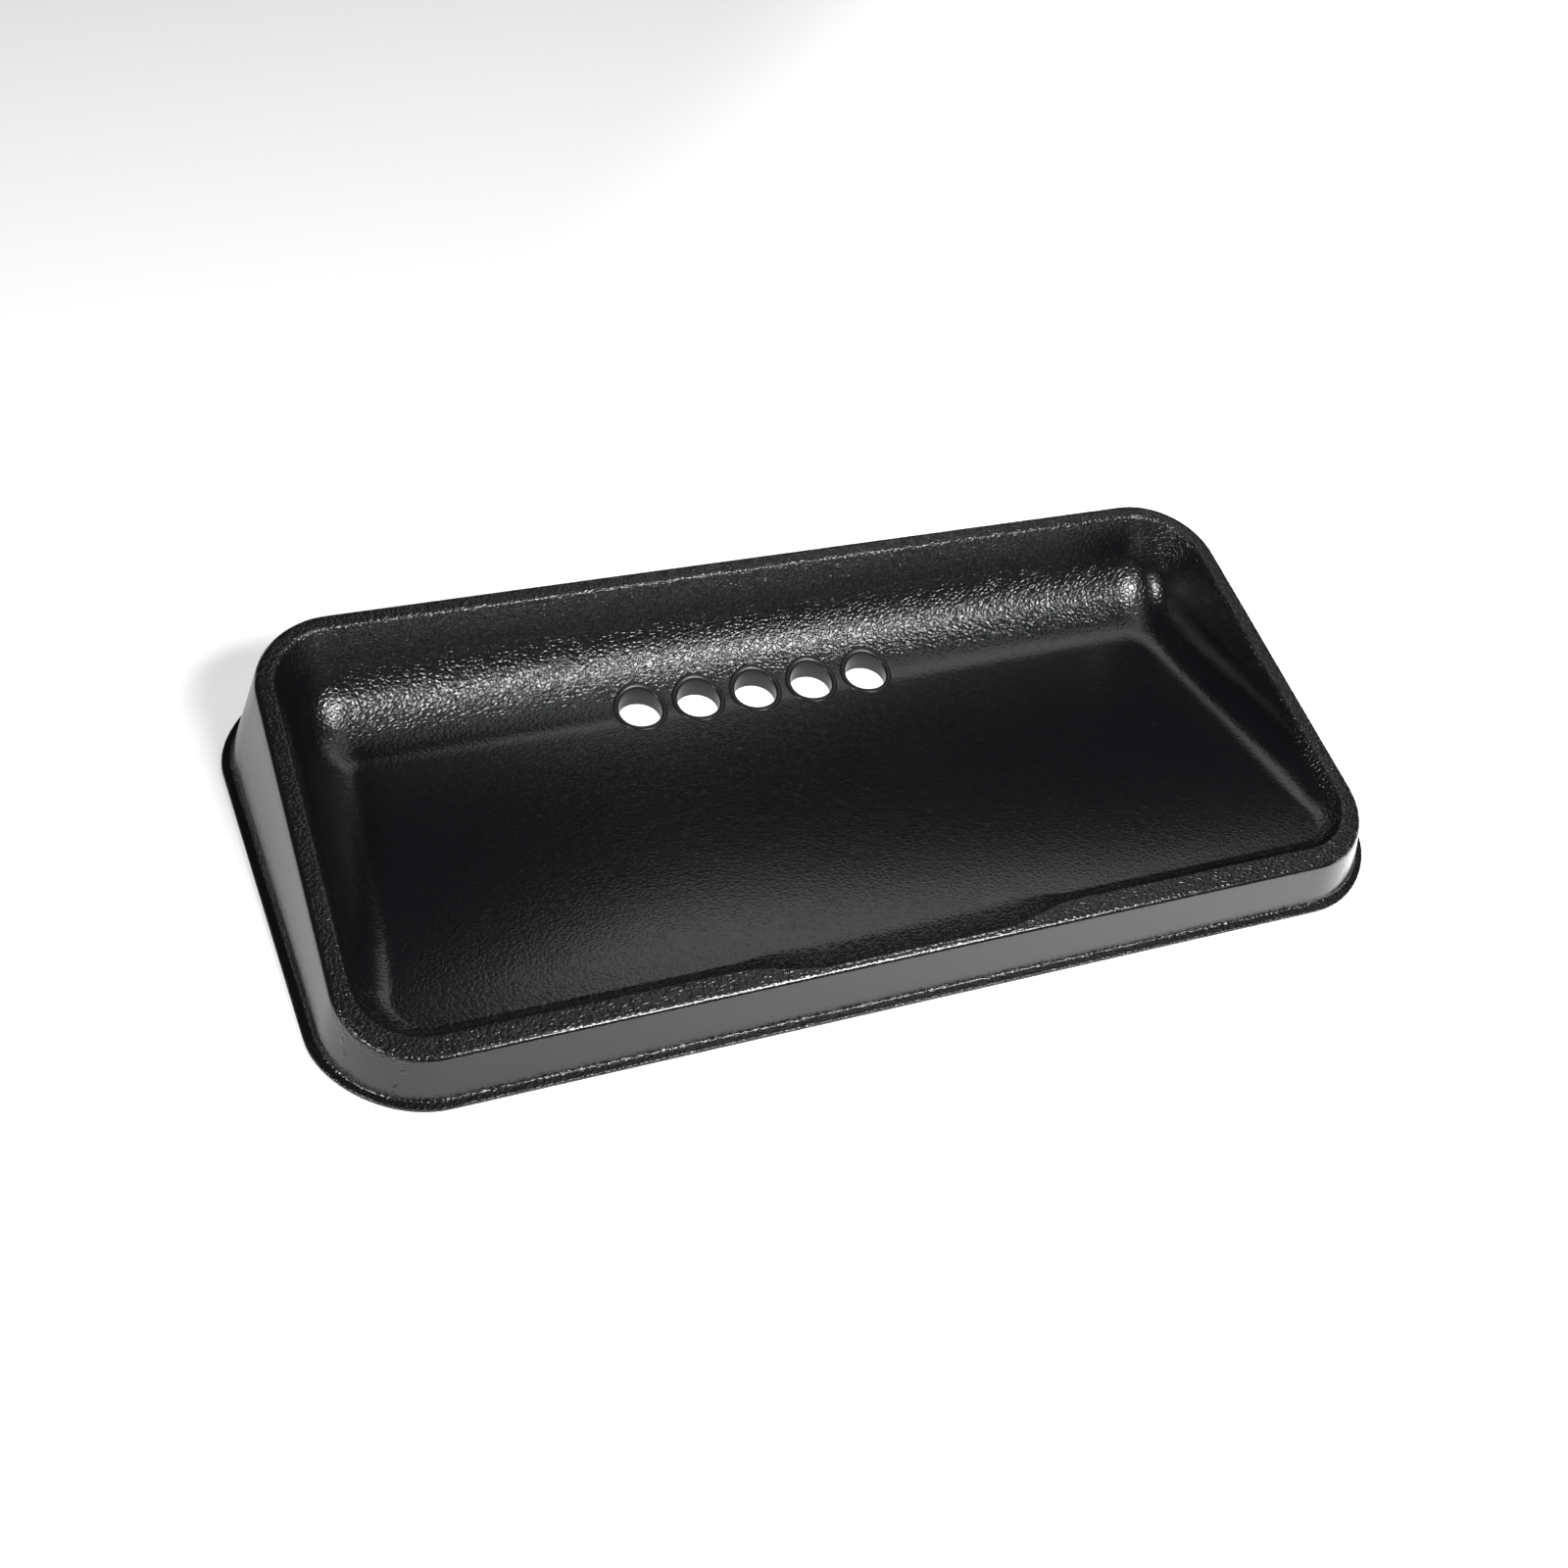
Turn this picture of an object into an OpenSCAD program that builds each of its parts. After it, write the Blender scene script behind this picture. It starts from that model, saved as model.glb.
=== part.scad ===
// Coin tray: a formed black skin with a sloping rim and a scooped front, closed
// underneath by a flat base plate. Five drain bushes tie skin and plate together,
// and four rubber feet carry the tray. Millimetres, +Z up, front towards -Y,
// origin on the ground under the middle of the base.

/* [Rim] */
// Width of the rim, side to side
rim_w = 320; // [280:1:360]
// Depth of the rim, front to back
rim_d = 148; // [140:1:170]
// Corner radius of the rim, seen from above
rim_r = 25; // [22:0.5:30]
// Height of the rim's front edge above the ground
rim_front_z = 16.2; // [15.6:0.1:20]
// Height of the rim's back edge above the ground
rim_back_z = 37.0; // [33:0.5:42]
// Rounding of the rim's outer edge
rim_edge_r = 1.8; // [1.4:0.1:2]

/* [Skirt] */
// Lean of every wall, in degrees from upright
draft = 15.5; // [12:0.5:17]
// Thickness of the formed skin
skin_t = 1.8; // [1.6:0.1:2]
// How far the base flange stands out from the foot of the wall
flange_out = 2.6; // [2.2:0.1:3.2]
// Thickness of the base flange
flange_t = 1.0; // [0.9:0.1:1.2]
// How much less the walls spread in the corners than on the sides, as a share
corner_ease = 0.12; // [0:0.02:0.4]

/* [Basin] */
// Width of the flat rim at the front, outer edge to inner edge
land_front = 6.0; // [5:0.1:9]
// Width of the flat rim at each side
land_side = 4.6; // [4:0.1:6]
// Width of the flat rim at the back
land_back = 4.0; // [3.5:0.1:6]
// Rounding of the rim's inner edge
land_edge_r = 1.5; // [1:0.1:1.8]
// Corner radius of the basin's mouth
basin_r = 20; // [18:0.5:22]
// Height of the floor where it meets the front, above the ground
floor_front_z = 14.9; // [14:0.1:15]
// Height of the floor at the drain holes, above the ground
floor_back_z = 4.9; // [4.8:0.1:6]
// Distance from the rim's front edge at which the floor starts to fall
floor_start = 12; // [8:1:20]
// Radius between floor and back wall
fillet_back = 28; // [22:1:30]
// Radius between floor and side walls
fillet_side = 16; // [12:1:18]
// Radius between floor and front rim
fillet_front = 6; // [4:0.5:8]

/* [Scoop] */
// Half width of the scoop, where the floor runs out to the front edge
scoop_in = 27; // [20:1:35]
// Half width at which the flat front rim is whole again
scoop_out = 53; // [46:1:60]
// Radius of the floor's rise to the front edge in the scoop
scoop_fillet = 40; // [30:1:50]

/* [Drain bushes] */
// Distance between neighbouring drain holes
drain_pitch = 19.4; // [18.4:0.1:21]
// Radius of a drain hole
drain_r = 6.85; // [6.5:0.05:7]
// Outer radius of a bush's sleeve
bush_r = 8.2; // [8:0.05:8.5]
// Sideways place of the middle drain hole
drain_x = -5; // [-6:0.5:0]
// Distance of the drain holes behind the middle of the rim
drain_y = 45; // [43:0.5:46]

/* [Base] */
// Thickness of the base plate
plate_t = 0.8; // [0.7:0.1:1]
// How far the plate's edge stays inside the flange's edge
plate_inset = 0.2; // [0.1:0.05:0.6]
// Radius of a foot
foot_r = 9; // [7:0.5:11]
// Thickness of a foot
foot_t = 0.8; // [0.7:0.1:1]
// Distance of a foot's middle from the rim's corner, along each edge
foot_in = 22; // [18:1:30]

/* [Hidden] */

// Play between a bush and the holes that it sits in
fit_gap = 0.05;
// Overshoot of the cutting shapes past the faces that they cut
over = 1;
// Steps in a quarter turn of the outside and of the basin
corner_steps = 8;
// Steps in the rim's rounded outer edge, in its inner edge and in the basin's fillet
rim_steps = 3;
edge_steps = 2;
fillet_steps = 6;
// Steps across the scoop's end, beside it, along half a side, and from the floor's edge inwards
scoop_steps = 4;
front_steps = 3;
side_steps = 2;
floor_steps = 5;
// Smallest plan radius of the floor's corners
floor_corner_r = 3;
// How much shorter the floor's middle line is than the floor, as a share
floor_squeeze = 0.25;
// Distance behind the drains' line at which the floor is level again
drain_margin = 1;

lean = tan(draft);
plate_z = foot_t;
flange_z = plate_z + plate_t;
wall_foot_z = flange_z + flange_t;
// The base flares more at the back, so the rim sits a little towards the front
rim_y = -(rim_back_z - rim_front_z) * lean / 2;
half_w = rim_w / 2;
half_d = rim_d / 2;
skin_side = skin_t / cos(draft);

// Height of the sloping rim at a depth y
function rim_z(y) = rim_front_z + (rim_back_z - rim_front_z) * ((y - rim_y) / rim_d + 0.5);

function smooth(t) = let (c = min(max(t, 0), 1)) c * c * (3 - 2 * c);

// Height of the floor: level behind the front rim and at the drains, an S between them
floor_y0 = rim_y - half_d + floor_start;
floor_y1 = rim_y + drain_y + drain_margin;
function floor_z(y) = floor_front_z
    + (floor_back_z - floor_front_z) * smooth((y - floor_y0) / (floor_y1 - floor_y0));

// Points on a quarter turn, each as [x, y, outward x, outward y]
function quarter(cx, cy, r, start) = [for (i = [0:corner_steps])
    let (a = start + 90 * i / corner_steps) [cx + r * cos(a), cy + r * sin(a), cos(a), sin(a)]];

// The rim's outline seen from above, anticlockwise from the front right corner
rim_line = let (cx = half_w - rim_r, cy = half_d - rim_r) concat(
    quarter(cx, rim_y - cy, rim_r, -90), quarter(cx, rim_y + cy, rim_r, 0),
    quarter(-cx, rim_y + cy, rim_r, 90), quarter(-cx, rim_y - cy, rim_r, 180));

// A ring parallel to the rim, moved in and down
function rim_ring(inset, drop) = [for (s = rim_line)
    [s[0] - s[2] * inset, s[1] - s[3] * inset, rim_z(s[1]) - drop]];

// A level ring on the leaning wall, carried down to height z, moved out, and moved in again
function skirt_ring(z, out, inset = 0) = [for (s = rim_line) let (
    corner = 2 * s[2] * s[3],
    o = ((rim_z(s[1]) - z) * lean + out) * (1 - corner_ease * corner * corner) - inset)
    [s[0] + s[2] * o, s[1] + s[3] * o, z]];

// The ring of the rim's rounded edge that faces a degrees away from straight up
function rim_arc(a) = rim_ring(
    rim_edge_r * (tan((90 - draft) / 2) - sin(a)), rim_edge_r * (1 - cos(a)));

// The base plate's outline at height z
function plate_ring(z) = [for (p = skirt_ring(wall_foot_z, flange_out, plate_inset)) [p[0], p[1], z]];

// Triangles between ring k and ring k + 1, each of n points
function band(k, n) = [for (i = [0:n - 1]) let (j = (i + 1) % n)
    each [[k * n + i, k * n + j, (k + 1) * n + j], [k * n + i, (k + 1) * n + j, (k + 1) * n + i]]];

// A solid through level or planar rings, from the lowest to the highest
module loft(rings) {
    n = len(rings[0]);
    m = len(rings);
    polyhedron(
        points = [for (r = rings) each r],
        faces = [for (f = concat(
            [[for (i = [n - 1:-1:0]) i]],
            [for (k = [0:m - 2]) each band(k, n)],
            [[for (i = [0:n - 1]) (m - 1) * n + i]])) [for (i = [len(f) - 1:-1:0]) f[i]]],
        convexity = 4);
}

// The whole outside, as if it were solid
module outside() {
    loft(concat(
        [skirt_ring(flange_z, flange_out), skirt_ring(wall_foot_z, flange_out), skirt_ring(wall_foot_z, 0)],
        [for (i = [rim_steps:-1:0]) rim_arc((90 - draft) * i / rim_steps)]));
}

// The hollow behind the skirt
module hollow() {
    loft([skirt_ring(flange_z - over, 0, skin_side), rim_ring(skin_side, skin_t)]);
}

// How whole the flat front rim is at a sideways place x: 0 in the scoop, 1 beside it
function rim_whole(x) = smooth((abs(x) - scoop_in) / (scoop_out - scoop_in));

// Places of the basin's mouth along the right half of the front and back edges
basin_hw = half_w - land_side;
mouth_x = concat([0, scoop_in / 2],
    [for (i = [0:scoop_steps]) scoop_in + (scoop_out - scoop_in) * i / scoop_steps],
    [for (i = [1:front_steps - 1]) scoop_out + (basin_hw - basin_r - scoop_out) * i / front_steps]);
side_y = [for (i = [-side_steps:side_steps]) (half_d - rim_r) * i / (side_steps + 1)];
basin_back = half_d - land_back;
function basin_front(x) = half_d - (rim_edge_r + (land_front - rim_edge_r) * rim_whole(x));

function fillet_r(nx, ny, x) = fillet_side * nx * nx
    + (ny > 0 ? fillet_back : fillet_front + (scoop_fillet - fillet_front) * (1 - rim_whole(x))) * ny * ny;

// A basin profile at one place: [fillet radius, depth, steepest angle, straight drop, whole run]
function profile(x, y, nx, ny) = let (
    rho = fillet_r(nx, ny, x),
    depth = rim_z(y) - floor_z(y),
    bend = min(90 - draft, acos(max(-1, 1 - depth / (land_edge_r + rho)))),
    drop = max(0, depth - (land_edge_r + rho) * (1 - cos(bend))))
    [rho, depth, bend, drop, (land_edge_r + rho) * sin(bend) + drop * lean];

// How far a corner's centre moves in, so that the fillets of both walls fit into it
function shift(run) = max(0, run - basin_r + floor_corner_r);

// A place of the mouth: [x, y, outward x, outward y, corner shift x, corner shift y]
function edge_place(x, y, nx, ny) = [x, y, nx, ny, 0, 0];
function corner_places(sy) = let (
    cx = basin_hw - basin_r,
    cy = (sy > 0 ? basin_back : basin_front(half_w)) - basin_r,
    ex = shift(profile(basin_hw, rim_y + sy * cy, 1, 0)[4]),
    ey = shift(profile(cx, rim_y + sy * (cy + basin_r), 0, sy)[4]))
    [for (q = quarter(cx, rim_y + sy * cy, basin_r, sy > 0 ? 0 : -90)) concat(q, [ex, sy * ey])];

right_half = concat(
    [for (x = mouth_x) edge_place(x, rim_y - basin_front(x), 0, -1)],
    corner_places(-1),
    [for (y = side_y) edge_place(basin_hw, rim_y + y, 1, 0)],
    corner_places(1),
    [for (i = [len(mouth_x) - 1:-1:0]) edge_place(mouth_x[i], rim_y + basin_back, 0, 1)]);
last = len(right_half) - 1;
// The whole mouth, anticlockwise; the left half mirrors the right, without the two middle places
mouth = concat(right_half,
    [for (i = [last - 1:-1:1]) let (s = right_half[i]) [-s[0], s[1], -s[2], s[3], -s[4], s[5]]]);

// A place moved in by the run u, corners closing up on their moving centre
function moved_in(s, u, run) = let (
    f = u / run,
    r = u - f * (abs(s[4]) * s[2] * s[2] + abs(s[5]) * s[3] * s[3]))
    [s[0] - s[4] * f - s[2] * r, s[1] - s[5] * f - s[3] * r];

// Ring of the rounded inner edge; part 0 is flat, part 1 is the wall; grow moves it outwards
function edge_ring(part, grow) = [for (s = mouth) let (
    p = profile(s[0], s[1], s[2], s[3]),
    a = p[2] * part,
    q = moved_in(s, land_edge_r * sin(a) - grow * sin(a), p[4]))
    [q[0], q[1], rim_z(q[1]) - land_edge_r * (1 - cos(a)) - grow * cos(a)]];

// Ring of the fillet; part 0 is the wall, part 1 is the floor
function fillet_ring(part, grow) = [for (s = mouth) let (
    p = profile(s[0], s[1], s[2], s[3]),
    a = p[2] * (1 - part),
    q = moved_in(s, p[4] - (p[0] + grow) * sin(a), p[4]))
    [q[0], q[1], floor_z(q[1]) + p[0] - (p[0] + grow) * cos(a)]];

// Ring inside the floor: q is 1 at the floor's edge and falls towards its long middle line
function floor_ring(q, grow) = [for (e = fillet_ring(1, grow)) let (
    y = rim_y + (e[1] - rim_y) * q)
    [e[0] * (1 - floor_squeeze * (1 - q)), y, floor_z(y) - grow]];

// The innermost ring is closed by strips that join its front to its back
function strips(k, n) = let (o = k * n, h = (n - 2) / 2) concat(
    [for (i = [0:last / 2 - 1]) each [
        [o + i, o + i + 1, o + last - i - 1], [o + i, o + last - i - 1, o + last - i]]],
    [for (i = [0:last / 2 - 1]) let (
        a = (n - i) % n, b = n - i - 1, c = last + i + 1, d = last + i) each [
        [o + a, o + d, o + c], [o + a, o + c, o + b]]]);

// The basin's space, from above the rim down to the floor; grow makes it larger by a skin
module basin(grow) {
    top = [for (s = mouth) let (out = grow > 0 ? grow : over)
        [s[0] + s[2] * out, s[1] + s[3] * out, rim_z(s[1]) + over]];
    first = grow > 0 ? edge_steps : 1;
    rings = concat([top],
        [for (i = [first:edge_steps]) edge_ring(i / edge_steps, grow)],
        [for (i = [0:fillet_steps]) fillet_ring(i / fillet_steps, grow)],
        [for (i = [floor_steps - 1:-1:1]) floor_ring(i / floor_steps, grow)]);
    n = len(mouth);
    m = len(rings);
    polyhedron(
        points = [for (r = rings) each r],
        faces = concat(
            [[for (i = [n - 1:-1:0]) i]],
            [for (k = [0:m - 2]) each band(k, n)],
            strips(m - 1, n)),
        convexity = 6);
}

module at_drain(i) {
    translate([drain_x + (i - 3) * drain_pitch, rim_y + drain_y, 0]) children();
}

// The formed skin without its holes, as one faceted body; resize by zeros keeps its size
module skin() {
    resize([0, 0, 0])
        difference() {
            outside();
            basin(0);
            difference() {
                hollow();
                basin(skin_t);
            }
        }
}

// The holes that take the drain bushes, through skin and plate
module bush_holes() {
    for (i = [1:5]) at_drain(i)
        cylinder(r = bush_r, h = rim_back_z, $fn = 64);
}

module tray_shell() {
    color([0.09, 0.09, 0.10])
    difference() {
        skin();
        bush_holes();
    }
}

module base_plate() {
    color([0.13, 0.13, 0.13])
    difference() {
        loft([plate_ring(plate_z), plate_ring(flange_z)]);
        bush_holes();
    }
}

// A bush: its lip follows the basin's surface, its lower end is flush with the plate
module drain_bush(i) {
    color([0.06, 0.06, 0.07])
    difference() {
        at_drain(i) translate([0, 0, plate_z])
            cylinder(r = bush_r - fit_gap, h = rim_back_z / 2, $fn = 64);
        basin(0);
        at_drain(i) cylinder(r = drain_r, h = rim_back_z, $fn = 64);
    }
}

// A foot: a low rubber disc with a bevelled lower edge
module foot(sx, sy) {
    bevel = foot_t / 4;
    color([0.2, 0.2, 0.2])
    translate([sx * (half_w - foot_in), rim_y + sy * (half_d - foot_in), 0])
        rotate_extrude($fn = 64)
            polygon([[0, 0], [foot_r - bevel, 0], [foot_r, bevel], [foot_r, foot_t], [0, foot_t]]);
}

tray_shell();
base_plate();
drain_bush(1);  // drain_bush_1
drain_bush(2);  // drain_bush_2
drain_bush(3);  // drain_bush_3
drain_bush(4);  // drain_bush_4
drain_bush(5);  // drain_bush_5
foot(-1, -1);  // foot_front_left
foot(1, -1);  // foot_front_right
foot(-1, 1);  // foot_back_left
foot(1, 1);  // foot_back_right
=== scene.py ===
# %% [markdown]
# # A formed plastic coin tray, as a lesson in Blender
#
# The tray is one sheet of black plastic, softened by heat and pulled by vacuum over a mould: a sloping rim, a
# dished floor, a scoop in the front edge and five drain holes. A flat plate closes it underneath, five small
# bushes line the holes, and four rubber feet carry it.
#
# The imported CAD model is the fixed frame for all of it. Every mesh below goes where that frame says, in metres,
# and stands for the plain CAD solid of the same name.

# %% Load the frame
import math

import bmesh
import bpy
from mathutils import Matrix, Vector


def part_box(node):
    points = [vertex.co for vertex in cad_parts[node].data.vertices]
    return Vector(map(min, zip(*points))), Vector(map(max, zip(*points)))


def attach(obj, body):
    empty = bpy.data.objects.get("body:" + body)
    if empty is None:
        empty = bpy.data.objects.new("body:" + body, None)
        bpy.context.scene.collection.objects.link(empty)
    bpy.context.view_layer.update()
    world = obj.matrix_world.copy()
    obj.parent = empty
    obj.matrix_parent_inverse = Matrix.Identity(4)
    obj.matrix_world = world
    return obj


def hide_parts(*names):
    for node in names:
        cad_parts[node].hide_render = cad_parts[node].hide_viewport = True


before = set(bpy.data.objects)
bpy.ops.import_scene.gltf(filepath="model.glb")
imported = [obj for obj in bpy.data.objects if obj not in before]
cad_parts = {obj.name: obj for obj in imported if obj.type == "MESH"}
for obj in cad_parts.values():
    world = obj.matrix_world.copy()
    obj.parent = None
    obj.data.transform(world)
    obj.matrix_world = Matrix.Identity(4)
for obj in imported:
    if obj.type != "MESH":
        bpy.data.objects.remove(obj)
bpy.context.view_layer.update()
MM = 0.001

# %% [markdown]
# ## The camera first
#
# A camera can be placed by typing a position and three angles, which says nothing to a reader. It could also
# track an empty. Here it is placed as a photographer thinks: a point to look at, a direction to look from, a
# distance, and how far the camera is tilted on its side, which makes the tray run downhill to the left.

# %% Camera
aim = Vector((-14.72, -6.12, 15.0)) * MM
view_azimuth = math.radians(29.354)
view_elevation = math.radians(46.350)
view_roll = math.radians(11.898)
view_distance = 577.54 * MM

camera = bpy.data.objects.new("camera", bpy.data.cameras.new("camera"))
camera.data.lens = 44.096
bpy.context.scene.collection.objects.link(camera)
bpy.context.scene.camera = camera

look = Vector((math.sin(view_azimuth) * math.cos(view_elevation),
               math.cos(view_azimuth) * math.cos(view_elevation),
               -math.sin(view_elevation)))
turn = look.to_track_quat("-Z", "Y").to_matrix() @ Matrix.Rotation(view_roll, 3, "Z")
camera.matrix_world = Matrix.Translation(aim - look * view_distance) @ turn.to_4x4()
print("camera at", [round(v, 3) for v in camera.matrix_world.translation])

# %% [markdown]
# ## The tray's driving dimensions
#
# These are the lengths that a mould maker would write on the drawing. Heights of the plate and the flange, and
# the places of the drains and the feet, are read from the frame, so that they can't drift away from it.

# %% Driving dimensions
rim_w, rim_d, rim_r = 320 * MM, 148 * MM, 25 * MM
rim_front_z, rim_back_z = 16.2 * MM, 37.0 * MM
rim_edge_r = 1.8 * MM
draft = math.radians(15.5)
skin_t = 1.8 * MM
flange_out, flange_t, corner_ease = 2.6 * MM, 1.0 * MM, 0.12
land_front, land_side, land_back = 6.0 * MM, 4.6 * MM, 4.0 * MM
land_edge_r, basin_r = 1.5 * MM, 20 * MM
floor_front_z, floor_back_z, floor_start = 14.9 * MM, 4.9 * MM, 12 * MM
fillet_back, fillet_side, fillet_front = 28 * MM, 16 * MM, 6 * MM
scoop_in, scoop_out, scoop_fillet = 27 * MM, 53 * MM, 40 * MM
floor_corner_r, floor_squeeze = 3 * MM, 0.25
drain_y, drain_margin = 45 * MM, 1 * MM
plate_inset = 0.2 * MM

lean = math.tan(draft)
steepest = math.pi / 2 - draft
flange_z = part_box("tray_shell")[0].z
wall_foot_z = flange_z + flange_t
rim_y = -(rim_back_z - rim_front_z) * lean / 2
basin_hw = rim_w / 2 - land_side
basin_back = rim_d / 2 - land_back
drain_names = [n for n in sorted(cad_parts) if n.startswith("drain_bush")]
foot_names = [n for n in sorted(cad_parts) if n.startswith("foot")]


def middle(node):
    """The middle of a node's box, seen from above."""
    low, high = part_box(node)
    return Vector(((low.x + high.x) / 2, (low.y + high.y) / 2))


drains = [middle(n) for n in drain_names]
print(len(drains), "drains,", len(foot_names), "feet, rim middle at y =", round(rim_y / MM, 3), "mm")

# %% [markdown]
# ## The shape of the sheet as plain functions
#
# Two heights rule everything: the rim slopes evenly from front to back, and the floor runs level behind the
# front edge, falls in a soft S, and is level again at the drains. Written as functions of depth, they can be
# asked at any point, and the mesh can be as fine as the eye needs.

# %% Heights and the scoop


def smooth(t):
    """A soft step from 0 to 1."""
    c = min(max(t, 0.0), 1.0)
    return c * c * (3 - 2 * c)


def rim_z(y):
    return rim_front_z + (rim_back_z - rim_front_z) * ((y - rim_y) / rim_d + 0.5)


floor_y0 = rim_y - rim_d / 2 + floor_start
floor_y1 = rim_y + drain_y + drain_margin


def floor_z(y):
    return floor_front_z + (floor_back_z - floor_front_z) * smooth((y - floor_y0) / (floor_y1 - floor_y0))


def rim_whole(x):
    """0 in the scoop, where the floor runs out to the front edge, and 1 where the front rim is whole."""
    return smooth((abs(x) - scoop_in) / (scoop_out - scoop_in))


def basin_front(x):
    return rim_d / 2 - (rim_edge_r + (land_front - rim_edge_r) * rim_whole(x))


print("rim front/back mm:", round(rim_z(rim_y - rim_d / 2) / MM, 1), round(rim_z(rim_y + rim_d / 2) / MM, 1))

# %% [markdown]
# ## Walking round the tray
#
# A formed tray could be box-modelled with bevels and a subdivision surface, but the fillet changes its radius
# all the way round and dies out in the scoop, and a subdivided cage only comes near such sizes. So the sheet is
# lofted: a walk round the tray gives a few hundred places, and at each place the same cross-section is drawn
# with the radii that belong there. Rim and basin use the same walk, so their rings join point to point.

# %% Places round the tray
edge_stops, corner_stops, side_stops = 72, 22, 30
# Straight stretches keep this far from the corners, whose centres move in by nearly as much
clear_x, clear_y = 7 * MM, 17 * MM


class Place:
    """A point on the walk, the direction outwards from it, and 0 or, in a corner, -1 in front and 1 behind."""

    def __init__(self, point, out, corner=0):
        self.point, self.out, self.corner = point, out, corner

    def mirrored(self):
        return Place(Vector((-self.point.x, self.point.y)), Vector((-self.out.x, self.out.y)), self.corner)


def walk(half_x, front, back, radius):
    """Places anticlockwise from the middle of the front, where front(x) says how far the front edge is out."""
    cx, cy = half_x - radius, {-1: front(half_x) - radius, 1: back - radius}
    along = [(cx - clear_x) * i / (edge_stops - 1) for i in range(edge_stops)]
    places = [Place(Vector((x, rim_y - front(x))), Vector((0, -1))) for x in along]
    for end in (-1, 1):
        centre = Vector((cx, rim_y + end * cy[end]))
        for i in range(corner_stops + 1):
            a = math.radians(90 * i / corner_stops - (90 if end < 0 else 0))
            out = Vector((math.cos(a), math.sin(a)))
            places.append(Place(centre + out * radius, out, end))
        if end < 0:
            reach = cy[1] - clear_y
            places += [Place(Vector((half_x, rim_y + reach * (2 * i / side_stops - 1))), Vector((1, 0)))
                       for i in range(side_stops + 1)]
    places += [Place(Vector((x, rim_y + back)), Vector((0, 1))) for x in reversed(along)]
    return places + [p.mirrored() for p in places[-2:0:-1]]


rim_places = walk(rim_w / 2, lambda x: rim_d / 2, rim_d / 2, rim_r)
mouth_places = walk(basin_hw, basin_front, basin_back, basin_r)
last = len(rim_places) // 2
print(len(rim_places), "places round the rim, and as many round the basin's mouth")

# %% [markdown]
# ## The cross-section
#
# From outside to inside: flange, foot of the wall, the leaning wall, the rounded rim edge, the flat land, the
# basin's rounded edge, the inner wall, the fillet and the floor. Near the front the basin is only a millimetre
# deep, so edge and fillet meet before the wall gets steep: the turn between them is worked out from the depth.
# In the corners the fillet is larger than the corner, and its centre moves inwards to make room for it.

# %% Rings of the outside


def flat(point, z):
    return Vector((point.x, point.y, z))


def rim_ring(inset, drop):
    """A ring parallel to the rim, moved in and down."""
    return [flat(s.point - s.out * inset, rim_z(s.point.y) - drop) for s in rim_places]


def rim_arc(a):
    """The rounded outer edge of the rim, a being the angle away from straight up."""
    return rim_ring(rim_edge_r * (math.tan(steepest / 2) - math.sin(a)), rim_edge_r * (1 - math.cos(a)))


def skirt_ring(z, out, inset=0.0):
    """A level ring at height z, out from where the wall meets that height; the corners spread less."""
    ring = []
    for s in rim_places:
        ease = 1 - corner_ease * (2 * s.out.x * s.out.y) ** 2
        spread = ((rim_z(s.point.y) - z) * lean + out) * ease - inset
        ring.append(flat(s.point + s.out * spread, z))
    return ring


# %% [markdown]
# The basin's rings are written as shares of the cross-section, from 0 at its upper end to 1 at its lower end.
# A share means the same in the shallow scoop and on the deep back wall, so one loop can draw all places. The
# same functions with grow give the sheet's inner face, which keeps its distance from the outer one.

# %% Rings of the basin


def profile(s):
    """Fillet radius, steepest angle and whole run of the basin's cross-section at a place."""
    front = fillet_front + (scoop_fillet - fillet_front) * (1 - rim_whole(s.point.x))
    rho = fillet_side * s.out.x**2 + (fillet_back if s.out.y > 0 else front) * s.out.y**2
    depth = rim_z(s.point.y) - floor_z(s.point.y)
    bend = min(steepest, math.acos(max(-1, 1 - depth / (land_edge_r + rho))))
    drop = max(0, depth - (land_edge_r + rho) * (1 - math.cos(bend)))
    return rho, bend, (land_edge_r + rho) * math.sin(bend) + drop * lean


def corner_shift(end):
    """How far a corner's centre moves in along x and y, so that the fillets of both its walls fit."""
    cx = basin_hw - basin_r
    cy = (basin_back if end > 0 else basin_front(basin_hw)) - basin_r
    side = Place(Vector((basin_hw, rim_y + end * cy)), Vector((1, 0)))
    across = Place(Vector((cx, rim_y + end * (cy + basin_r))), Vector((0, end)))
    return Vector([max(0, profile(s)[2] - basin_r + floor_corner_r) for s in (side, across)])


shifts = {-1: corner_shift(-1), 0: Vector((0, 0)), 1: corner_shift(1)}
mouth_profiles = [profile(s) for s in mouth_places]


def moved_in(s, u, run):
    """A place moved in by u of its whole run, corners closing up on their moving centre."""
    f, shift = u / run, shifts[s.corner]
    r = u - f * (shift.x * s.out.x**2 + shift.y * s.out.y**2)
    return s.point - Vector((math.copysign(shift.x, s.point.x), s.corner * shift.y)) * f - s.out * r


def edge_ring(part, grow=0.0):
    """A ring of the rounded inner edge, flat at part 0 and steepest at 1; grow moves it into the sheet."""
    ring = []
    for s, (rho, bend, run) in zip(mouth_places, mouth_profiles):
        a = bend * part
        q = moved_in(s, (land_edge_r - grow) * math.sin(a), run)
        ring.append(flat(q, rim_z(q.y) - land_edge_r * (1 - math.cos(a)) - grow * math.cos(a)))
    return ring


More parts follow.
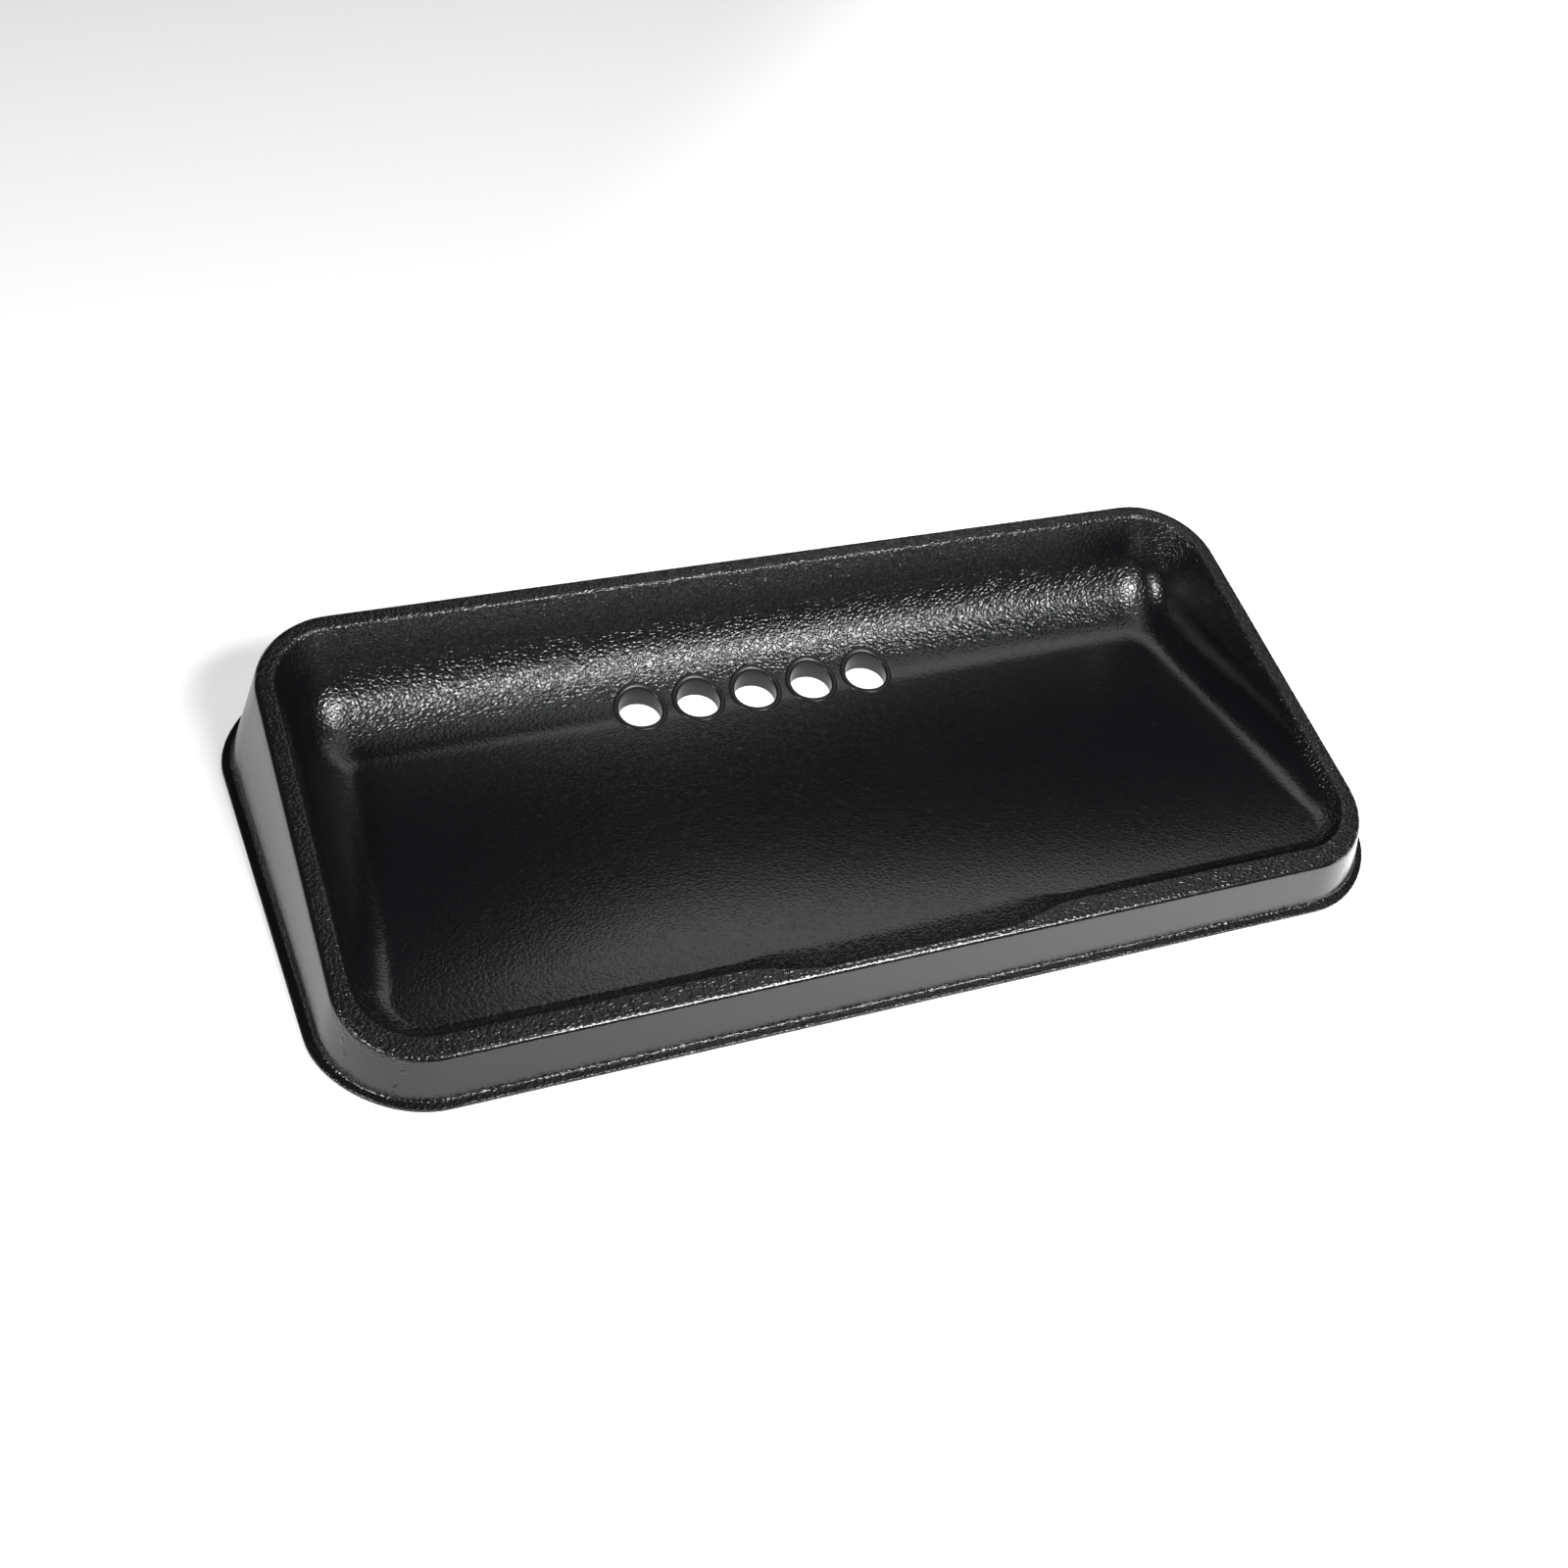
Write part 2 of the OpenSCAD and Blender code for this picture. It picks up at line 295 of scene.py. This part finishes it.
def fillet_ring(part, grow=0.0):
    """A ring of the fillet, steepest at part 0 and down on the floor at 1."""
    ring = []
    for s, (rho, bend, run) in zip(mouth_places, mouth_profiles):
        a = bend * (1 - part)
        q = moved_in(s, run - (rho + grow) * math.sin(a), run)
        ring.append(flat(q, floor_z(q.y) + rho - (rho + grow) * math.cos(a)))
    return ring


def floor_ring(q, grow=0.0):
    """A ring inside the floor, closing in on the floor's middle line as q falls from 1."""
    ring = []
    for e in fillet_ring(1, grow):
        y = rim_y + (e.y - rim_y) * q
        ring.append(Vector((e.x * (1 - floor_squeeze * (1 - q)), y, floor_z(y) - grow)))
    return ring


def mixed(a, b, t):
    """A ring between two rings."""
    return [p.lerp(q, t) for p, q in zip(a, b)]


print("basin run at the back in mm:", round(mouth_profiles[last][2] / MM, 1))

# %% [markdown]
# ## From rings to one closed sheet
#
# The rings are joined into a single closed mesh: up the outside, over the rim, down into the basin, and back
# along the hollow underside. A Solidify modifier would be shorter, but the rim's rounding is tighter than the
# sheet is thick, and Solidify would fold the inner face through itself there.

# %% Lofting
smooth_below = math.radians(38)


def zipped(mesh, row):
    """Closes a ring of points by joining its front half to its back half."""
    count = len(row)
    half = count // 2
    for i in range(half // 2):
        right = (i, i + 1, half - i - 1, half - i)
        left = (-i % count, half + i, half + i + 1, (-i - 1) % count)
        for quad in (right, left):
            mesh.faces.new([row[k] for k in dict.fromkeys(quad)])


def joined(mesh, rings):
    """Joins rings of equal length with quads and gives back their rows of vertices."""
    rows = [[mesh.verts.new(p) for p in ring] for ring in rings]
    count = len(rows[0])
    for low, high in zip(rows, rows[1:]):
        for i in range(count):
            j = (i + 1) % count
            mesh.faces.new((low[i], low[j], high[j], high[i]))
    return rows


def finished(name, mesh):
    """Cleans a mesh, turns its faces outwards, keeps its real edges sharp, and makes it an object."""
    bmesh.ops.remove_doubles(mesh, verts=mesh.verts, dist=0.001 * MM)
    bmesh.ops.dissolve_degenerate(mesh, edges=mesh.edges, dist=0.001 * MM)
    bmesh.ops.recalc_face_normals(mesh, faces=mesh.faces)
    for face in mesh.faces:
        face.smooth = True
    for edge in mesh.edges:
        edge.smooth = edge.calc_face_angle(math.pi) < smooth_below
    data = bpy.data.meshes.new(name)
    mesh.to_mesh(data)
    mesh.free()
    made = bpy.data.objects.new(name, data)
    bpy.context.scene.collection.objects.link(made)
    return made


def loft(name, rings):
    """A closed solid through rings, from the middle of its underside to the middle of its top."""
    mesh = bmesh.new()
    rows = joined(mesh, rings)
    zipped(mesh, rows[0])
    zipped(mesh, rows[-1])
    return finished(name, mesh)


# %% [markdown]
# ## Boring the drains
#
# The holes could be modelled into the grid, which costs a special patch for each of them. They are cut with a
# Boolean instead, as a punch would cut the real sheet, and the bush's lip covers the cut edge.

# %% Boring
bore_r = 8.2 * MM
bore_stops = 96


def circle(centre, radius, stops=bore_stops):
    return [centre + Vector((math.cos(a), math.sin(a))) * radius
            for a in (math.tau * i / stops for i in range(stops))]


def bored(piece):
    """Cuts the five drains through a piece and gives it back."""
    punch = bmesh.new()
    for centre in drains:
        rows = joined(punch, [[flat(p, z) for p in circle(centre, bore_r)] for z in (-10 * MM, 30 * MM)])
        punch.faces.new(rows[0])
        punch.faces.new(rows[1])
    tool = finished("punch", punch)
    cut = piece.modifiers.new("drains", "BOOLEAN")
    cut.operation, cut.solver, cut.object = "DIFFERENCE", "EXACT", tool
    view = bpy.context.evaluated_depsgraph_get()
    mesh = bmesh.new()
    mesh.from_mesh(piece.evaluated_get(view).to_mesh())
    name = piece.name
    for old in (tool, piece):
        bpy.data.objects.remove(old)
    return finished(name, mesh)


# %% [markdown]
# ## The formed skin
#
# The rings follow the hollow underside from the middle outwards, turn round the flange, climb the wall, and run
# over the rim into the basin. Small roundings at the flange catch the thin lines of light that a real formed
# edge shows.

# %% The formed skin
flange_edge = 0.35 * MM
foot_fillet = 0.9 * MM
under_stops, fillet_stops, edge_turns, rim_turns, wall_stops, floor_stops = 6, 22, 7, 8, 8, 22
skin_side = skin_t / math.cos(draft)


def flange_rings():
    """Round the flange's edge from below to above, ending at the foot of the wall."""
    turns = [math.radians(30 * i) for i in range(4)]
    drops = [(flange_edge * (1 - math.cos(a)), flange_edge * (1 - math.sin(a))) for a in turns]
    low = [skirt_ring(flange_z + c, flange_out, d) for c, d in drops]
    high = [skirt_ring(wall_foot_z - d, flange_out, c) for c, d in drops]
    foot = [skirt_ring(wall_foot_z + foot_fillet * (1 - math.cos(a)), foot_fillet * (1 - math.sin(a)))
            for a in turns]
    return low + high + foot


def underside_rings():
    """The hollow's surface, from the middle of the floor's underside to the flange."""
    floor = [floor_ring(i / under_stops, skin_t) for i in range(1, under_stops)]
    fillet = [fillet_ring(1 - i / under_stops, skin_t) for i in range(under_stops + 1)]
    drop = skin_t + 0.4 * MM
    wall = [rim_ring(skin_side - drop * lean, drop), skirt_ring(flange_z, 0, skin_side)]
    return floor + fillet + [edge_ring(1, skin_t)] + wall


def top_rings():
    """Up the wall, over the rim and down to the middle of the floor."""
    foot, brow = skirt_ring(wall_foot_z, 0), rim_arc(steepest)
    wall = [mixed(foot, brow, i / wall_stops) for i in range(1, wall_stops)]
    rim = [rim_arc(steepest * (1 - i / rim_turns)) for i in range(rim_turns + 1)]
    edge = [edge_ring(i / edge_turns) for i in range(edge_turns + 1)]
    land = [mixed(rim[-1], edge[0], t) for t in (0.33, 0.67)]
    fillet = [fillet_ring(i / fillet_stops) for i in range(fillet_stops + 1)]
    floor = [floor_ring(1 - i / floor_stops) for i in range(1, floor_stops)]
    return wall + rim + land + edge + fillet + floor


skin = bored(loft("formed_skin", underside_rings() + flange_rings() + top_rings()))
print("formed skin:", len(skin.data.polygons), "faces, box", [round(v / MM, 1) for v in skin.dimensions])

# %% [markdown]
# ## The base plate
#
# A flat sheet under the flange, a little smaller than it, so that a fine step shows all round. A plain extruded
# outline would do, but its edges would be knife sharp: they are broken a little, as a router leaves them.

# %% The base plate
plate_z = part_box("base_plate")[0].z
plate_edge = 0.2 * MM


def plate_ring(inset, z):
    return [flat(p, z) for p in skirt_ring(wall_foot_z, flange_out, plate_inset + inset)]


def shrunk(ring, share):
    """A ring drawn in towards its own middle line."""
    return [Vector((p.x * (1 - floor_squeeze * (1 - share)), rim_y + (p.y - rim_y) * share, p.z)) for p in ring]


bottom, top = plate_ring(plate_edge, plate_z), plate_ring(plate_edge, flange_z)
inner = [0.25, 0.5, 0.75]
plate = bored(loft("base_plate_sheet", [shrunk(bottom, q) for q in inner]
                   + [bottom, plate_ring(0, plate_z + plate_edge), plate_ring(0, flange_z - plate_edge), top]
                   + [shrunk(top, q) for q in reversed(inner)]))
print("base plate:", len(plate.data.polygons), "faces, box", [round(v / MM, 1) for v in plate.dimensions])

# %% [markdown]
# ## The drain bushes
#
# Each bush is a short sleeve with a rounded lip that lies on the basin, and the basin curves up behind it. A
# lathe shape alone would leave the lip hanging in front or sunk behind, so each lathe ring is also lifted by
# the height of the basin under it.

# %% Lathe
lathe_stops = 96


def lathe(name, centre, outline, rests_on=None):
    """Turns an outline of (radius, height) pairs; (radius, None, height) is a height over rests_on."""
    mesh = bmesh.new()
    rings = []
    for radius, height, *lift in outline:
        spots = circle(centre, radius, lathe_stops)
        rings.append([flat(p, rests_on(p.y) + lift[0] if lift else height) for p in spots])
    joined(mesh, rings + rings[:1] if rests_on else rings)
    return finished(name, mesh)


def basin_z(y):
    """Height of the basin along its back half, away from the corners."""
    rho, bend, run = mouth_profiles[last]
    past = max(0, y - (rim_y + basin_back - run))
    return floor_z(y) + rho - math.sqrt(rho**2 - past**2)


# %% [markdown]
# The outline goes up the bore, over the lip and down the sleeve. The lip is half a flattened ring: it rises
# half a millimetre over the basin and dips a little under it on both sides, so that no gap shows where the
# basin curves.

# %% Five bushes
drain_r, sleeve_r, lip_r = 6.85 * MM, 8.15 * MM, 8.75 * MM
lip_rise, lip_sink, mouth_flare = 0.5 * MM, 0.15 * MM, 0.3 * MM
lip_turns = 12


def bush_outline():
    """From the bore's lower end up, over the rounded lip, and down the sleeve."""
    middle_r, half_lip = (drain_r + lip_r) / 2, (lip_r - drain_r) / 2
    bore = [(drain_r + mouth_flare, plate_z), (drain_r, plate_z + mouth_flare)]
    lip = []
    for i in range(lip_turns + 1):
        a = math.pi * (1 - i / lip_turns)
        lip.append((middle_r + half_lip * math.cos(a), None, (lip_rise + lip_sink) * math.sin(a) - lip_sink))
    sleeve = [(sleeve_r, None, -2 * lip_sink), (sleeve_r, plate_z + mouth_flare),
              (sleeve_r - mouth_flare, plate_z)]
    return bore + lip + sleeve


bushes = {name: lathe(name + "_sleeve", centre, bush_outline(), basin_z)
          for name, centre in zip(drain_names, drains)}
print(len(bushes), "bushes of", round(2 * lip_r / MM, 1), "mm over the lip")

# %% [markdown]
# ## The feet
#
# Four low rubber discs. Each has a bevelled lower edge and a shallow dished face, which is how a moulded foot
# grips a counter and how it is pulled out of its mould.

# %% Four feet
foot_lo, foot_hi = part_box(foot_names[0])
foot_r, foot_t = (foot_hi.x - foot_lo.x) / 2, foot_hi.z
dished = [(0, 0.3), (0.35, 0.3), (0.5, 0.1), (0.58, 0)]
bevelled = [(0.9, 0), (0.965, 0.08), (1, 0.3), (1, 0.93), (0.99, 1), (0, 1)]
foot_outline = [(across * foot_r, up * foot_t) for across, up in dished + bevelled]
feet = {name: lathe(name + "_pad", middle(name), foot_outline) for name in foot_names}
print(len(feet), "feet of", round(2 * foot_r / MM, 1), "mm")

# %% [markdown]
# ## Who stands for what
#
# Each mesh rides on the frame's only body and stands for its CAD node.

# %% Riding


def stands_for(piece, node):
    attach(piece, "root")
    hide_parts(node)


stands_for(skin, "tray_shell")
stands_for(plate, "base_plate")
for node, piece in bushes.items():
    stands_for(piece, node)
for node, piece in feet.items():
    stands_for(piece, node)
print("pieces:", [p.name for p in (skin, plate, *bushes.values(), *feet.values())])

# %% [markdown]
# ## Where the sheet was stretched
#
# The sheet's grain is rolled in before it is formed. Where vacuum pulls the sheet deep, the grain is stretched
# flat: it is crisp on the rim, fair on the back wall, and nearly gone on the floor, in the deep corners and on
# the outer walls. The shader can't know that from its normal alone, and a painted map would be an image, so
# each vertex carries how crisp its grain is.

# %% Grain as a vertex attribute
crisp_rim, crisp_back, crisp_floor, crisp_wall, crisp_flange = 1.0, 0.80, 0.18, 0.14, 0.75
grain_drop, floor_lift, corner_reach = 3.0 * MM, 3.5 * MM, 40 * MM
# The rim's rounded edge is stretched as far in as edge_share of its radius, and the grain of the rim
# fades out where the scoop's floor comes within lip_lift of it
edge_share, edge_start, lip_lift = 0.7, 0.2, 0.3 * MM


def crispness(p):
    """How crisp the grain is at a point of the skin."""
    if p.z < wall_foot_z + foot_fillet:
        return crisp_flange
    outside = max(abs(p.x) - rim_w / 2, abs(p.y - rim_y) - rim_d / 2)
    depth = rim_z(p.y) - p.z
    if outside > -edge_share * rim_edge_r:
        inwards = (-outside / rim_edge_r - edge_start) / (edge_share - edge_start)
        return crisp_wall + (crisp_rim - crisp_wall) * smooth(inwards)
    on_rim = 1 - smooth((depth - rim_edge_r) / grain_drop)
    up_wall = smooth((p.z - floor_z(p.y)) / floor_lift) * smooth((p.y - rim_y) / (rim_d / 4))
    up_wall *= 1 - smooth((abs(p.x) - rim_w / 2) / corner_reach + 1)
    inside = crisp_floor + (crisp_back - crisp_floor) * up_wall
    return inside + (crisp_rim - inside) * on_rim * smooth((p.z - floor_z(p.y)) / lip_lift)


crisp = skin.data.attributes.new("crisp", "FLOAT", "POINT")
crisp.data.foreach_set("value", [crispness(v.co) for v in skin.data.vertices])
print("crispness written for", len(skin.data.vertices), "points")

# %% [markdown]
# ## Shader maths as Python
#
# A node tree is a formula drawn with boxes. Two small classes let it be written as one: a Wire is an output
# socket that can be added, multiplied and subtracted, and a Finish makes the nodes.

# %% Wire and Finish


class Wire:
    """An output socket that takes part in sums. Numbers may stand on either side."""

    def __init__(self, finish, socket):
        self.finish, self.socket = finish, socket

    def maths(self, operation, a, b):
        return self.finish.node("ShaderNodeMath", {"operation": operation}, {0: a, 1: b})

    def __add__(self, other):
        return self.maths("ADD", self, other)

    def __sub__(self, other):
        return self.maths("SUBTRACT", self, other)

    def __rsub__(self, other):
        return self.maths("SUBTRACT", other, self)

    def __mul__(self, other):
        return self.maths("MULTIPLY", self, other)

    __radd__, __rmul__ = __add__, __mul__


class Finish:
    """One procedural material."""

    def __init__(self, name):
        self.material = bpy.data.materials.new(name)
        self.material.use_nodes = True
        self.tree = self.material.node_tree
        self.tree.nodes.clear()

    def node(self, kind, settings=None, inputs=None, output=0):
        """Any node: its settings are made first, then its sockets get values or links."""
        made = self.tree.nodes.new(kind)
        for name, value in (settings or {}).items():
            if name == "stops":
                for stop, (place, grey) in zip(made.color_ramp.elements, value):
                    stop.position, stop.color = place, (grey, grey, grey, 1)
            else:
                setattr(made, name, value)
        for key, value in (inputs or {}).items():
            if isinstance(value, Wire):
                self.tree.links.new(value.socket, made.inputs[key])
            else:
                made.inputs[key].default_value = value
        return Wire(self, made.outputs[output])

    def noise(self, at, size, detail=2.0, roughness=0.5):
        """Smooth noise from 0 to 1, whose lumps are about size across."""
        return self.node("ShaderNodeTexNoise", {}, {
            "Vector": at, "Scale": 1 / size, "Detail": detail, "Roughness": roughness})

    def ramp(self, value, low, high):
        """Turns low..high into 0..1, softly and clamped."""
        return self.node("ShaderNodeMapRange", {"interpolation_type": "SMOOTHSTEP"},
                         {"Value": value, "From Min": low, "From Max": high})

    def blend(self, share, a, b):
        """A colour between two colours."""
        return self.node("ShaderNodeMix", {"data_type": "RGBA"}, {0: share, 6: a, 7: b}, 2)

    def shifted(self, at, by, amount):
        """A vector moved by another one, scaled by amount."""
        scaled = self.node("ShaderNodeVectorMath", {"operation": "SCALE"}, {0: by, "Scale": amount})
        return self.node("ShaderNodeVectorMath", {"operation": "ADD"}, {0: at, 1: scaled})

    def bump(self, height, depth, under=None):
        """A normal from a height that runs 0..1 over a real depth."""
        inputs = {"Height": height, "Distance": depth, "Strength": 1.0}
        if under:
            inputs["Normal"] = under
        return self.node("ShaderNodeBump", {}, inputs)

    def plastic(self, colour, roughness, normal, **fixed):
        """Ends the tree in a Principled shader; fixed values go on its own sockets."""
        inputs = {"Base Color": colour, "Roughness": roughness, "Normal": normal}
        inputs.update({name.replace("_", " "): value for name, value in fixed.items()})
        shader = self.node("ShaderNodeBsdfPrincipled", {}, inputs)
        self.node_output(shader)
        return self.material

    def node_output(self, shader):
        out = self.tree.nodes.new("ShaderNodeOutputMaterial")
        self.tree.links.new(shader.socket, out.inputs["Surface"])

    def here(self):
        """Places on the piece, in metres in the tray's own frame."""
        return self.node("ShaderNodeTexCoord", {}, {}, "Object")


print("shader helpers ready")

# %% [markdown]
# ## The skin's finish
#
# Haircell grain is a field of small pebbles with soft valleys, a little longer than wide. Voronoi cells give
# the pebbles, and noise bends the cells first, because real grain has no straight borders. The height goes
# into a Bump node with the grain's depth in metres and is scaled by how crisp the grain is at each point.

# %% Skin
grain_pitch, grain_depth = 1.3 * MM, 0.15 * MM
skin_black, skin_dust = (0.0040, 0.0040, 0.0048, 1), (0.014, 0.014, 0.016, 1)


def skin_finish():
    f = Finish("haircell_black")
    at = f.here()
    crisp_here = f.node("ShaderNodeAttribute", {"attribute_name": "crisp"}, {}, "Fac")
    wander = f.node("ShaderNodeTexNoise", {},
                    {"Vector": at, "Scale": 1 / (2.2 * grain_pitch), "Detail": 2.0}, "Color")
    bent = f.shifted(at, wander, 1.6 * grain_pitch)
    stretched = f.node("ShaderNodeVectorMath", {"operation": "MULTIPLY"}, {0: bent, 1: (0.72, 1.0, 1.0)})
    cells = f.node("ShaderNodeTexVoronoi", {"feature": "DISTANCE_TO_EDGE"},
                   {"Vector": stretched, "Scale": 1 / grain_pitch})
    pebbles = f.ramp(cells, 0.0, 0.32)
    wrinkles = f.noise(at, 0.45 * grain_pitch, 1.0)
    height = (pebbles * 0.75 + wrinkles * 0.25) * crisp_here
    waves = f.noise(at, 9 * MM, 1.0)
    normal = f.bump(height, grain_depth, f.bump(waves, 0.02 * MM))
    clouds = f.noise(at, 22 * MM, 3.0)
    scuffs = f.ramp(f.noise(at, 3.5 * MM, 4.0, 0.65), 0.62, 0.8)
    colour = f.blend(scuffs * 0.35 + (1 - pebbles) * 0.12, skin_black, skin_dust)
    roughness = 0.15 + clouds * 0.05 + scuffs * 0.08 + crisp_here * 0.09
    return f.plastic(colour, roughness, normal, Specular_IOR_Level=0.5, IOR=1.5)


skin.data.materials.append(skin_finish())

# %% [markdown]
# ## Bush, plate and foot
#
# The bushes are moulded: smooth, glossier than the sheet, with a faint flow pattern and a little wear on the
# lip. The plate is flat extruded sheet with a fine matt tooth and drag lines. The feet are matt rubber.

# %% Small finishes


def bush_finish():
    f = Finish("moulded_black")
    at = f.here()
    flow = f.noise(at, 2.5 * MM, 2.0)
    specks = f.ramp(f.noise(at, 0.5 * MM, 2.0), 0.6, 0.78)
    colour = f.blend(specks * 0.4, (0.010, 0.010, 0.012, 1), (0.035, 0.035, 0.038, 1))
    return f.plastic(colour, 0.24 + flow * 0.12 + specks * 0.1, f.bump(flow, 0.02 * MM),
                     Specular_IOR_Level=0.3, IOR=1.5)


def plate_finish():
    f = Finish("sheet_black")
    at = f.here()
    tooth = f.noise(at, 0.35 * MM, 2.0)
    drag = f.noise(f.node("ShaderNodeVectorMath", {"operation": "MULTIPLY"}, {0: at, 1: (0.05, 1.0, 1.0)}),
                   0.8 * MM, 2.0)
    colour = f.blend(drag * 0.5, (0.012, 0.012, 0.013, 1), (0.028, 0.028, 0.030, 1))
    return f.plastic(colour, 0.42 + tooth * 0.14, f.bump(tooth * 0.6 + drag * 0.4, 0.03 * MM), IOR=1.5)


def rubber_finish():
    f = Finish("moulded_rubber")
    at = f.here()
    crumb = f.noise(at, 0.6 * MM, 3.0)
    smear = f.ramp(f.noise(at, 4 * MM, 2.0), 0.45, 0.7)
    colour = f.blend(smear * 0.5, (0.035, 0.035, 0.035, 1), (0.075, 0.073, 0.070, 1))
    return f.plastic(colour, 0.72 + crumb * 0.18, f.bump(crumb, 0.04 * MM), IOR=1.45)


plate.data.materials.append(plate_finish())
moulded, rubber = bush_finish(), rubber_finish()
for piece in bushes.values():
    piece.data.materials.append(moulded)
for piece in feet.values():
    piece.data.materials.append(rubber)
print("finishes:", [m.name for m in bpy.data.materials if m.users])

# %% [markdown]
# ## Stage and light
#
# The tray lies on a white sweep that is lit so strongly that it burns out. That is what turns the leaning outer
# walls grey: black plastic shows what it mirrors, and the walls mirror the sweep. A lamp of its own for the
# sweep would also light the tray, so the sweep glows by itself, and most towards the front right, where the
# front wall is to be brightest.

# %% Floor


glow_way, glow_starts, glow_full = (0.8, -0.6, 0), -0.20, 0.24


def floor_finish():
    f = Finish("white_sweep")
    at = f.here()
    grain = f.noise(at, 6 * MM, 3.0)
    colour = f.blend(grain * 0.3, (0.86, 0.86, 0.86, 1), (0.82, 0.82, 0.82, 1))
    toward = f.node("ShaderNodeVectorMath", {"operation": "DOT_PRODUCT"}, {0: at, 1: glow_way}, "Value")
    glow = f.blend(f.ramp(toward, glow_starts, glow_full), (0.08, 0.08, 0.08, 1), (1, 1, 1, 1))
    return f.plastic(colour, 0.9 - grain * 0.1, f.bump(grain, 0.02 * MM), Specular_IOR_Level=0.2,
                     Emission_Color=glow, Emission_Strength=2.4)


floor_half = 3.0
mesh = bmesh.new()
bmesh.ops.create_grid(mesh, x_segments=8, y_segments=8, size=floor_half)
floor = finished("floor", mesh)
floor.data.materials.append(floor_finish())

# %% [markdown]
# Above, the room is dark, so that the basin stays black but for the soft boxes that it mirrors. On a black
# object each box is judged by what it draws: the front box draws the band on the back wall and the spots in
# its corners, the top box a much fainter band just under that one, the small left box the second spot in the
# right corner, and the back box the sheen on the basin's floor and the faint line round it.

# %% Lights
world = bpy.data.worlds.new("room")
world.use_nodes = True
world.node_tree.nodes["Background"].inputs["Color"].default_value = (0.9, 0.93, 1.0, 1)
world.node_tree.nodes["Background"].inputs["Strength"].default_value = 0.015
bpy.context.scene.world = world
bpy.context.scene.view_settings.view_transform = "Standard"


def soft_box(name, azimuth, elevation, distance, width, height, power):
    """An area light that looks at the tray from a compass direction; azimuth 0 is in front, 90 to the right."""
    a, e = math.radians(azimuth), math.radians(elevation)
    away = Vector((math.sin(a) * math.cos(e), -math.cos(a) * math.cos(e), math.sin(e)))
    lamp = bpy.data.lights.new(name, "AREA")
    lamp.shape, lamp.size, lamp.size_y, lamp.energy = "RECTANGLE", width, height, power
    box = bpy.data.objects.new(name, lamp)
    box.matrix_world = Matrix.Translation(away * distance) @ away.to_track_quat("Z", "Y").to_matrix().to_4x4()
    bpy.context.scene.collection.objects.link(box)
    return box


soft_box("front_box", 25, 48, 1.2, 0.50, 0.22, 17)
soft_box("top_box", 70, 76, 1.2, 0.90, 0.40, 1.4)
soft_box("back_box", 136, 53, 1.2, 0.90, 0.36, 1.6)
soft_box("left_box", -67, 34, 1.0, 0.16, 0.16, 6.0)
